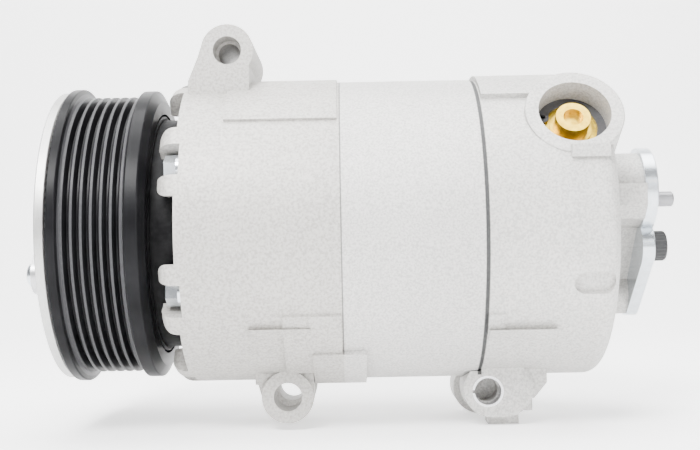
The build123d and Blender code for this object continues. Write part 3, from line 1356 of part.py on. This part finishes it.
with BuildPart() as port_stud:
    with BuildSketch(across(port_face_x)):
        with Locations((stud_y, stud_z)):
            Circle(stud_root_radius)
    extrude(amount=port_plate_thickness)
    with BuildSketch(across(port_plate_end_x)):
        with Locations((stud_y, stud_z)):
            Circle(stud_radius)
    extrude(amount=stud_length)
    chamfer(port_stud.faces().sort_by(Axis.X)[-1].edges(), 0.6)
port_stud.part.label = "port_stud"
export_step(port_stud.part, "parts/port_stud.step")

with BuildPart() as port_cap:
    with BuildSketch(across(port_plate_end_x)):
        with Locations((cap_y, cap_z)):
            Circle(cap_radius)
    extrude(amount=cap_length)
    fillet(port_cap.faces().sort_by(Axis.X)[-1].edges(), 1.6)
port_cap.part.label = "port_cap"
export_step(port_cap.part, "parts/port_cap.step")
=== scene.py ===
# %% [markdown]
# # A belt-driven air-conditioning compressor
# The solid model brings every piece at its true size and place. This script gives each piece
# its finish, adds what only a mesh can show well, and sets the camera and the light. The
# frame is loaded first, because every size and place below is read from it.

# %% Load the frame
import math

import bmesh
import bpy
from mathutils import Matrix, Vector


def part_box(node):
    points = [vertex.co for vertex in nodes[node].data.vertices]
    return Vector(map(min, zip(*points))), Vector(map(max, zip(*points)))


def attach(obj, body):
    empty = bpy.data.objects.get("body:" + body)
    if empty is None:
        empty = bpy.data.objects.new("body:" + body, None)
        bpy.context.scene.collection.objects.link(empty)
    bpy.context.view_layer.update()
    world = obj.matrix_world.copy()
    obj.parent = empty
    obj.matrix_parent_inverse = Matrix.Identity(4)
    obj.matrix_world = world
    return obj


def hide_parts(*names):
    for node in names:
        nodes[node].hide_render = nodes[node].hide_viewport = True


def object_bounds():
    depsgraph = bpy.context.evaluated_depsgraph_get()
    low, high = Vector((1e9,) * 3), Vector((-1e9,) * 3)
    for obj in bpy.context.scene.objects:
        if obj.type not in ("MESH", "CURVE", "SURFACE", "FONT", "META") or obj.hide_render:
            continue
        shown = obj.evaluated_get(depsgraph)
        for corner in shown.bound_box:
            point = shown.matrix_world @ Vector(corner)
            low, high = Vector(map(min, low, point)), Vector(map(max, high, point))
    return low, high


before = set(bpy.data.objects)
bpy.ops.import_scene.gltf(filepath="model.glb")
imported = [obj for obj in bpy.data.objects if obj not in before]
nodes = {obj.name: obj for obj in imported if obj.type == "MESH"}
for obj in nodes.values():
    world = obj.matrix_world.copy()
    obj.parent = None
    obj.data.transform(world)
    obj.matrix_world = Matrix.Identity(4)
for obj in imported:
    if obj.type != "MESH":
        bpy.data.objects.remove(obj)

cad_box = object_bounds()
MM = 0.001
print("whole object", [[round(v, 4) for v in corner] for corner in cad_box])

# %% [markdown]
# ## Shader helpers
# Every finish here is worked out from 3-D noise on Object coordinates, so it stays put on
# the metal when a joint moves. A small set of helpers keeps each material short: one makes
# the shader, one makes a noise, one turns a noise into two colours, and one turns it into
# a bump.


# %% Shader helpers
def new_finish(name, **sockets):
    """A material with one Principled shader, and uniform values set on its own sockets."""
    material = bpy.data.materials.new(name)
    material.use_nodes = True
    shader = material.node_tree.nodes["Principled BSDF"]
    for socket, value in sockets.items():
        shader.inputs[socket.replace("_", " ")].default_value = value
    return material, shader


def add_noise(material, scale, detail=2.0, roughness=0.5, stretch=(1.0, 1.0, 1.0)):
    """Noise on Object coordinates; scale is in patches per metre."""
    tree = material.node_tree
    place = tree.nodes.new("ShaderNodeTexCoord")
    mapping = tree.nodes.new("ShaderNodeMapping")
    mapping.inputs["Scale"].default_value = stretch
    noise = tree.nodes.new("ShaderNodeTexNoise")
    noise.inputs["Scale"].default_value = scale
    noise.inputs["Detail"].default_value = detail
    noise.inputs["Roughness"].default_value = roughness
    tree.links.new(place.outputs["Object"], mapping.inputs["Vector"])
    tree.links.new(mapping.outputs["Vector"], noise.inputs["Vector"])
    return noise.outputs["Fac"]


def two_tone(material, factor, low, high, dark, light):
    """A colour ramp between two colours, driven by a noise between two levels."""
    ramp = material.node_tree.nodes.new("ShaderNodeValToRGB")
    ramp.color_ramp.elements[0].position = low
    ramp.color_ramp.elements[0].color = (*dark, 1.0)
    ramp.color_ramp.elements[1].position = high
    ramp.color_ramp.elements[1].color = (*light, 1.0)
    material.node_tree.links.new(factor, ramp.inputs["Fac"])
    return ramp.outputs["Color"]


def blend_colours(material, kind, first, second, amount=1.0):
    """Mix two colour outputs."""
    mix = material.node_tree.nodes.new("ShaderNodeMix")
    mix.data_type = "RGBA"
    mix.blend_type = kind
    mix.inputs["Factor"].default_value = amount
    material.node_tree.links.new(first, mix.inputs["A"])
    material.node_tree.links.new(second, mix.inputs["B"])
    return mix.outputs["Result"]


def add_bump(material, shader, height, strength, depth, under=None):
    """Bump from a height; a second bump may sit under it."""
    bump = material.node_tree.nodes.new("ShaderNodeBump")
    bump.inputs["Strength"].default_value = strength
    bump.inputs["Distance"].default_value = depth
    material.node_tree.links.new(height, bump.inputs["Height"])
    if under is not None:
        material.node_tree.links.new(under, bump.inputs["Normal"])
    material.node_tree.links.new(bump.outputs["Normal"], shader.inputs["Normal"])
    return bump.outputs["Normal"]


def vary_roughness(material, shader, factor, low, high):
    """Let a noise move the roughness between two values."""
    spread = material.node_tree.nodes.new("ShaderNodeMapRange")
    spread.inputs["To Min"].default_value = low
    spread.inputs["To Max"].default_value = high
    material.node_tree.links.new(factor, spread.inputs["Value"])
    material.node_tree.links.new(spread.outputs["Result"], shader.inputs["Roughness"])


print("shader helpers ready")


# %% [markdown]
# ## Shot-blasted cast aluminium
# The three case castings are blasted with fine shot after casting, which leaves a dull pale
# grey full of tiny dimples. Half a millimetre of noise makes the dimples as bump, a finer
# grain speckles the colour, and a slow noise a few centimetres across stands for the uneven
# skin. Each casting gets its own tone, because the three come from different moulds.


# %% Cast aluminium
def place_parts(material):
    """The x, y and z of Object coordinates as three outputs."""
    tree = material.node_tree
    place = tree.nodes.new("ShaderNodeTexCoord")
    split = tree.nodes.new("ShaderNodeSeparateXYZ")
    tree.links.new(place.outputs["Object"], split.inputs["Vector"])
    return split.outputs


def math_node(material, operation, first, second=None):
    """One math node; each input is an output to link or a number."""
    node = material.node_tree.nodes.new("ShaderNodeMath")
    node.operation = operation
    for socket, value in zip(node.inputs, (first, second)):
        if isinstance(value, (int, float)):
            socket.default_value = value
        elif value is not None:
            material.node_tree.links.new(value, socket)
    return node.outputs["Value"]


def shaft_distance(material):
    """The distance of each point from the shaft axis."""
    parts = place_parts(material)
    square_y = math_node(material, "MULTIPLY", parts["Y"], parts["Y"])
    square_z = math_node(material, "MULTIPLY", parts["Z"], parts["Z"])
    return math_node(material, "SQRT", math_node(material, "ADD", square_y, square_z))


def painted_joint_shade(material, colour, station, half_width, soft, shade):
    """Darkens a colour in a thin ring at one station along the shaft: painted shade for the shadow in the gap
    of a joint.
    """
    offset = math_node(material, "ABSOLUTE", math_node(material, "SUBTRACT",
                                                       place_parts(material)["X"], station))
    fade = math_node(material, "DIVIDE", math_node(material, "SUBTRACT", offset, half_width), soft)
    outside = math_node(material, "GREATER_THAN", shaft_distance(material), joint_reach)
    fade = math_node(material, "MAXIMUM", fade, outside)
    tone = two_tone(material, fade, 0.0, 1.0, (shade,) * 3, (1.0, 1.0, 1.0))
    return blend_colours(material, "MULTIPLY", colour, tone)


def cast_aluminium(name, tone, grain, joints=()):
    """Blasted casting skin in one tone, with painted shade in its joints."""
    material, shader = new_finish(name, Metallic=0.30, Roughness=0.6)
    skin = two_tone(material, add_noise(material, 24.0, 3.0), 0.3, 0.72,
                    tuple(c * 0.90 for c in tone), tone)
    speck = two_tone(material, add_noise(material, grain, 2.0, 0.65), 0.36, 0.60,
                     (0.70, 0.70, 0.70), (1.0, 1.0, 1.0))
    colour = blend_colours(material, "MULTIPLY", skin, speck)
    # each joint paints a thin ring of shade into the colour, where the seam gap lies in shadow
    for station, half_width, soft, shade in joints:
        colour = painted_joint_shade(material, colour, station, half_width, soft, shade)
    material.node_tree.links.new(colour, shader.inputs["Base Color"])
    vary_roughness(material, shader, add_noise(material, grain * 0.6, 2.0), 0.46, 0.68)
    coarse = add_bump(material, shader, add_noise(material, grain * 0.45, 2.0), 0.5, 0.25 * MM)
    add_bump(material, shader, add_noise(material, grain * 1.2, 3.0, 0.6), 0.6, 0.16 * MM, coarse)
    return material


gasket_half = 0.4 * MM
joint_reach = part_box("cylinder_block")[1][1] + 1.7 * MM  # the ears lie beyond it
front_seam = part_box("cylinder_block")[0][0]
rear_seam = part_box("cylinder_block")[1][0] + gasket_half
# Painted shade in the seams: station, half width, soft edge and darkness of each shaded ring.
thin_joint_shade = (front_seam, 0.12 * MM, 0.25 * MM, 0.30)
thick_joint_shade = (rear_seam, 0.60 * MM, 0.35 * MM, 0.08)
front_skin = cast_aluminium("front_casting_skin", (0.46, 0.445, 0.42), 1000.0, (thin_joint_shade,))
block_skin = cast_aluminium("block_casting_skin", (0.56, 0.55, 0.535), 1300.0,
                            (thin_joint_shade, thick_joint_shade))
rear_skin = cast_aluminium("rear_casting_skin", (0.53, 0.52, 0.50), 1150.0, (thick_joint_shade,))
print("joints at", round(front_seam, 4), round(rear_seam, 4))

# %% [markdown]
# ## Black pulley paint
# The pulley is dipped in a gloss black paint. The sharp thin lights on the groove crests are a
# painted highlight, a lighter colour beyond the crest radius, and a faint orange-peel bump keeps
# the wide flange from looking like glass.

# %% Black paint
pulley_black, shader = new_finish("pulley_gloss_black", Roughness=0.32,
                                  Specular_IOR_Level=0.06)
tint = two_tone(pulley_black, add_noise(pulley_black, 60.0, 3.0), 0.3, 0.7,
                (0.0035, 0.0035, 0.004), (0.009, 0.009, 0.010))
crest_start = 54.9 * MM      # painted highlight on the crests from here outwards
crest_fade = 0.10 * MM
groove_reach = 11.6 * MM     # half the width of the ribbed part
# painted highlight: the groove crests inside the ribbed width are made lighter in colour, for the thin lights
# on them
crest = math_node(pulley_black, "DIVIDE", math_node(pulley_black, "SUBTRACT",
                                                    shaft_distance(pulley_black), crest_start),
                  crest_fade)
across_belt = math_node(pulley_black, "ABSOLUTE", place_parts(pulley_black)["X"])
in_grooves = math_node(pulley_black, "LESS_THAN", across_belt, groove_reach)
crest_highlight = math_node(pulley_black, "MULTIPLY", crest, in_grooves)
crest_highlight_tone = two_tone(pulley_black, crest_highlight, 0.0, 1.0, (0.0, 0.0, 0.0), (0.040, 0.040, 0.042))
colour = blend_colours(pulley_black, "ADD", tint, crest_highlight_tone)
pulley_black.node_tree.links.new(colour, shader.inputs["Base Color"])
vary_roughness(pulley_black, shader, add_noise(pulley_black, 90.0, 3.0), 0.26, 0.38)
add_bump(pulley_black, shader, add_noise(pulley_black, 420.0, 2.0), 0.12, 0.05 * MM)

coil_black, shader = new_finish("coil_satin_black", Roughness=0.5, Specular_IOR_Level=0.06)
tint = two_tone(coil_black, add_noise(coil_black, 300.0, 3.0), 0.3, 0.7,
                (0.003, 0.003, 0.0035), (0.010, 0.010, 0.0105))
coil_black.node_tree.links.new(tint, shader.inputs["Base Color"])
vary_roughness(coil_black, shader, add_noise(coil_black, 120.0, 3.0), 0.42, 0.58)
add_bump(coil_black, shader, add_noise(coil_black, 900.0, 2.0), 0.3, 0.05 * MM)
print("black paints made")

# %% [markdown]
# ## Bare and plated steels
# The small steel pieces differ mostly in brightness and in how they were made: turned
# pieces carry fine rings about the shaft, plated pieces are smooth with a cool tint, and
# oiled spring steel is nearly black. One function makes them all, with the turning marks
# drawn by noise stretched around the shaft.


# %% Steels
def steel(name, tone, rough, marks=(1.0, 1.0, 1.0), mark_scale=900.0, fleck=0.0):
    """Steel of one tone; marks stretches the tool marks and fleck adds small brown spots."""
    material, shader = new_finish(name, Metallic=0.92, Roughness=rough)
    colour = two_tone(material, add_noise(material, mark_scale, 3.0, 0.6, marks), 0.3, 0.7,
                      tuple(c * 0.86 for c in tone), tone)
    if fleck > 0:
        spots = two_tone(material, add_noise(material, 1500.0, 4.0, 0.75), 0.60, 0.70,
                         (1.0, 1.0, 1.0), (0.62, 0.50, 0.40))
        colour = blend_colours(material, "MULTIPLY", colour, spots, fleck)
    material.node_tree.links.new(colour, shader.inputs["Base Color"])
    vary_roughness(material, shader, add_noise(material, 140.0, 3.0), rough * 0.8, rough * 1.25)
    add_bump(material, shader, add_noise(material, mark_scale, 2.0, 0.5, marks), 0.15, 0.03 * MM)
    return material


clutch_plate_steel = steel("clutch_plate_steel", (0.50, 0.50, 0.49), 0.42, (6.0, 1.0, 1.0),
                           500.0, fleck=0.7)
turned_steel = steel("turned_steel", (0.50, 0.50, 0.51), 0.34, (8.0, 1.0, 1.0), 400.0)
ground_steel = steel("ground_steel", (0.64, 0.64, 0.65), 0.24)
oiled_steel = steel("oiled_spring_steel", (0.09, 0.09, 0.095), 0.38)
zinc_plate = steel("bright_zinc", (0.62, 0.66, 0.70), 0.24, mark_scale=260.0)
stud_steel = steel("stud_steel", (0.26, 0.26, 0.27), 0.42)
print("steels:", [m.name for m in bpy.data.materials if "steel" in m.name or "zinc" in m.name])

# %% [markdown]
# ## Brass, copper, rubber and plastics
# Brass and enamelled copper are metals with a warm tint. Rubber and plastic are dull, with
# a fine matt grain. Each is a short recipe of the same two steps: a colour that drifts a
# little, and a bump at the scale of the real surface.


# %% Other finishes
def plain_finish(name, dark, light, rough, metal=0.0, scale=500.0, bump=0.2):
    """A finish whose colour drifts between two tones, with a fine bump."""
    material, shader = new_finish(name, Metallic=metal, Roughness=rough)
    colour = two_tone(material, add_noise(material, scale, 3.0), 0.3, 0.7, dark, light)
    material.node_tree.links.new(colour, shader.inputs["Base Color"])
    vary_roughness(material, shader, add_noise(material, scale / 3, 2.0), rough * 0.85, rough * 1.2)
    add_bump(material, shader, add_noise(material, scale * 2, 2.0), bump, 0.05 * MM)
    return material


brass = plain_finish("valve_brass", (0.52, 0.33, 0.03), (0.74, 0.52, 0.07), 0.30, metal=1.0)
copper = plain_finish("coil_copper", (0.45, 0.18, 0.08), (0.62, 0.28, 0.13), 0.35, metal=0.9)
rubber = plain_finish("seal_rubber", (0.010, 0.010, 0.010), (0.025, 0.025, 0.025), 0.7)
gasket_black = plain_finish("gasket_black", (0.015, 0.015, 0.016), (0.035, 0.035, 0.036), 0.6)
nylon = plain_finish("black_nylon", (0.014, 0.014, 0.015), (0.030, 0.030, 0.032), 0.5)
bobbin_plastic = plain_finish("bobbin_plastic", (0.62, 0.57, 0.44), (0.72, 0.67, 0.54), 0.5)
cap_plastic = plain_finish("cap_plastic", (0.006, 0.006, 0.007), (0.014, 0.014, 0.015), 0.55)
piston_coating = plain_finish("piston_coating", (0.20, 0.21, 0.19), (0.30, 0.31, 0.29), 0.45,
                              metal=0.6)
print(len(bpy.data.materials), "finishes so far")

# %% [markdown]
# ## Which piece wears which finish
# The table follows the pieces as they come apart on a bench. A piece that is not named takes
# the finish of ground steel, which is right for races, rollers, balls and reeds.

# %% Assign the finishes
wears = {
    "front_head": front_skin, "cylinder_block": block_skin, "rear_head": rear_skin,
    "pulley": pulley_black, "coil_shell": coil_black, "armature_plate": clutch_plate_steel,
    "clutch_hub": turned_steel, "shaft": turned_steel, "lug_rotor": turned_steel,
    "swash_plate": turned_steel, "piston_shoes": turned_steel, "front_thrust_cage": turned_steel,
    "hub_bolt": zinc_plate, "hub_rivets": zinc_plate, "armature_rivets": zinc_plate,
    "through_bolts": zinc_plate, "port_plate": zinc_plate, "port_stud": stud_steel,
    "control_valve": brass, "coil_winding": copper, "coil_bobbin": bobbin_plastic,
    "coil_terminal": nylon, "front_needle_cage": nylon, "rear_needle_cage": nylon,
    "pulley_bearing_cages": nylon, "port_cap": cap_plastic, "case_seal": rubber,
    "shaft_seal": rubber, "valve_seals": rubber, "pulley_bearing_seals": rubber,
    "cylinder_gasket": gasket_black, "retainer_gasket": gasket_black,
    "destroke_spring": oiled_steel, "coil_snap_ring": oiled_steel,
    "nose_snap_ring": oiled_steel, "pulley_snap_ring": oiled_steel,
    "seal_snap_ring": oiled_steel, "valve_circlip": oiled_steel,
}
for name, piece in nodes.items():
    finish = piston_coating if name.startswith("piston_") and name != "piston_shoes" else None
    finish = wears.get(name, finish or ground_steel)
    piece.data.materials.clear()
    piece.data.materials.append(finish)
print(len(nodes), "pieces have a finish")

# %% [markdown]
# ## Cap with grip ribs
# The lower port is closed for shipping by a moulded plastic cap. A real cap has shallow grip
# ribs around its skirt, so that it can be pulled off by hand, and a rounded top edge. It is
# made as a disc whose rim is pushed in at every second corner, then extruded and bevelled,
# because that keeps the ribs and the skirt one closed shell.

# %% Grip cap
low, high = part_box("port_cap")
cap_centre = Vector((low[0], (low[1] + high[1]) / 2, (low[2] + high[2]) / 2))
cap_radius = (high[1] - low[1]) / 2
cap_height = high[0] - low[0]
rib_count = 24
rib_valley = 0.955           # radius of the valleys as a share of the cap's
cap_edge_round = 1.1 * MM
shell = bmesh.new()
corners_per_rib = 4
disc = bmesh.ops.create_circle(shell, cap_ends=True, segments=corners_per_rib * rib_count,
                               radius=cap_radius)
for number, vertex in enumerate(disc["verts"]):
    if number % corners_per_rib in (1, 2):
        vertex.co *= rib_valley
skirt = bmesh.ops.extrude_face_region(shell, geom=list(shell.faces))
top = [item for item in skirt["geom"] if isinstance(item, bmesh.types.BMVert)]
bmesh.ops.translate(shell, verts=top, vec=(0, 0, cap_height))
rim = [edge for edge in shell.edges if all(abs(v.co.z - cap_height) < 1e-7 for v in edge.verts)]
bmesh.ops.bevel(shell, geom=rim, offset=cap_edge_round, offset_type="OFFSET", affect="EDGES", segments=4,
                profile=0.5, material=-1)
bmesh.ops.recalc_face_normals(shell, faces=shell.faces)
bmesh.ops.rotate(shell, verts=shell.verts, matrix=Matrix.Rotation(math.radians(90), 3, "Y"))
bmesh.ops.translate(shell, verts=shell.verts, vec=cap_centre)
cap_mesh = bpy.data.meshes.new("grip_cap")
shell.to_mesh(cap_mesh)
shell.free()
cap_mesh.shade_smooth()
cap_mesh.set_sharp_from_angle(angle=math.radians(35))
cap_mesh.materials.append(cap_plastic)
grip_cap = bpy.data.objects.new("grip_cap", cap_mesh)
bpy.context.scene.collection.objects.link(grip_cap)
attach(grip_cap, "housing")
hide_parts("port_cap")
print("grip cap:", len(cap_mesh.polygons), "faces,", rib_count, "ribs")

# %% [markdown]
# ## Floor
# The compressor stands in a plain white sweep, a floor that curves up into a back wall, so
# no horizon shows. In a studio it is a roll of white paper. Here it is one line of points
# pulled sideways into a sheet, with a faint glow that stands for the light on the paper.

# %% Stage
floor_z = cad_box[0][2]
half_width = 3.0
sweep = bmesh.new()
near, far = -2.4, 0.9
wall_height = 3.0
bend = 0.45
bend_steps = 12
profile = [sweep.verts.new((-half_width, near, floor_z)), sweep.verts.new((-half_width, far - bend, floor_z))]
for step in range(1, bend_steps + 1):
    angle = math.radians(90 * step / bend_steps)
    profile.append(sweep.verts.new((-half_width, far - bend + bend * math.sin(angle),
                                    floor_z + bend * (1 - math.cos(angle)))))
profile.append(sweep.verts.new((-half_width, far, floor_z + wall_height)))
edges = [sweep.edges.new(pair) for pair in zip(profile, profile[1:])]
wide = bmesh.ops.extrude_edge_only(sweep, edges=edges)
moved = [item for item in wide["geom"] if isinstance(item, bmesh.types.BMVert)]
bmesh.ops.translate(sweep, verts=moved, vec=(2 * half_width, 0, 0))
bmesh.ops.recalc_face_normals(sweep, faces=sweep.faces)
stage_mesh = bpy.data.meshes.new("stage_sweep")
sweep.to_mesh(stage_mesh)
sweep.free()
stage_mesh.shade_smooth()
stage = bpy.data.objects.new("stage_sweep", stage_mesh)
bpy.context.scene.collection.objects.link(stage)
stage_white, shader = new_finish("stage_white", Roughness=0.9)
shader.inputs["Base Color"].default_value = (0.90, 0.90, 0.90, 1.0)
shader.inputs["Emission Color"].default_value = (1.0, 1.0, 1.0, 1.0)
shader.inputs["Emission Strength"].default_value = 0.95
stage_mesh.materials.append(stage_white)

print("stage:", len(stage_mesh.polygons), "faces, floor at", round(floor_z, 4))

# %% [markdown]
# ## Light
# A dim even room keeps the black paint black, because gloss paint shows the room it stands
# in. The brightness comes from soft boxes: a key above and to the front, a weak fill at the
# rear end, one straight above, and one that only lights the paper behind.

# %% Light
world = bpy.data.worlds.new("soft_room")
world.use_nodes = True
world.node_tree.nodes["Background"].inputs["Color"].default_value = (1.0, 1.0, 1.0, 1.0)
world.node_tree.nodes["Background"].inputs["Strength"].default_value = 0.22
bpy.context.scene.world = world


def soft_box(name, place, aim, size, power):
    """A square area light at a place, turned towards a point."""
    lamp = bpy.data.lights.new(name, "AREA")
    lamp.energy = power
    lamp.size = size
    holder = bpy.data.objects.new(name, lamp)
    holder.location = place
    holder.rotation_euler = (Vector(aim) - Vector(place)).to_track_quat("-Z", "Y").to_euler()
    bpy.context.scene.collection.objects.link(holder)


middle = Vector((0.5 * (cad_box[0][0] + cad_box[1][0]), 0.0, 0.0))
soft_box("key_light", (-0.20, -0.75, 0.75), middle, 0.40, 34.0)
soft_box("fill_light", (0.70, -0.75, 0.25), middle, 0.5, 7.0)
soft_box("top_light", (0.10, -0.10, 1.00), middle, 0.9, 24.0)
soft_box("wall_light", (0.10, 0.15, 0.95), (0.1, 0.7, 0.1), 0.9, 14.0)

# %% [markdown]
# ## Camera
# The camera looks square at the side with the valve pocket, from less than half a metre
# away, which gives the strong perspective on the pulley and on the rear ports. It stands a
# little below the shaft, looks up by a degree and a half, and is rolled by one degree.

# %% Camera
camera_data = bpy.data.cameras.new("viewpoint")
camera_data.lens = 57.2
camera_data.sensor_width = 36.0
camera_data.clip_start = 0.01
camera = bpy.data.objects.new("viewpoint", camera_data)
camera_place = Vector((0.09236, -0.450, -0.009))
camera_pitch = math.radians(1.40)
camera_roll = math.radians(1.10)
back = Vector((0.0, -math.cos(camera_pitch), -math.sin(camera_pitch)))
level_up = Vector((0.0, -math.sin(camera_pitch), math.cos(camera_pitch)))
level_right = Vector((1.0, 0.0, 0.0))
up = level_up * math.cos(camera_roll) + level_right * math.sin(camera_roll)
right = level_right * math.cos(camera_roll) - level_up * math.sin(camera_roll)
turn = Matrix((right, up, back)).transposed().to_4x4()
camera.matrix_world = Matrix.Translation(camera_place) @ turn
bpy.context.scene.collection.objects.link(camera)
bpy.context.scene.camera = camera
print("camera at", [round(value, 3) for value in camera_place], "lens", camera_data.lens)
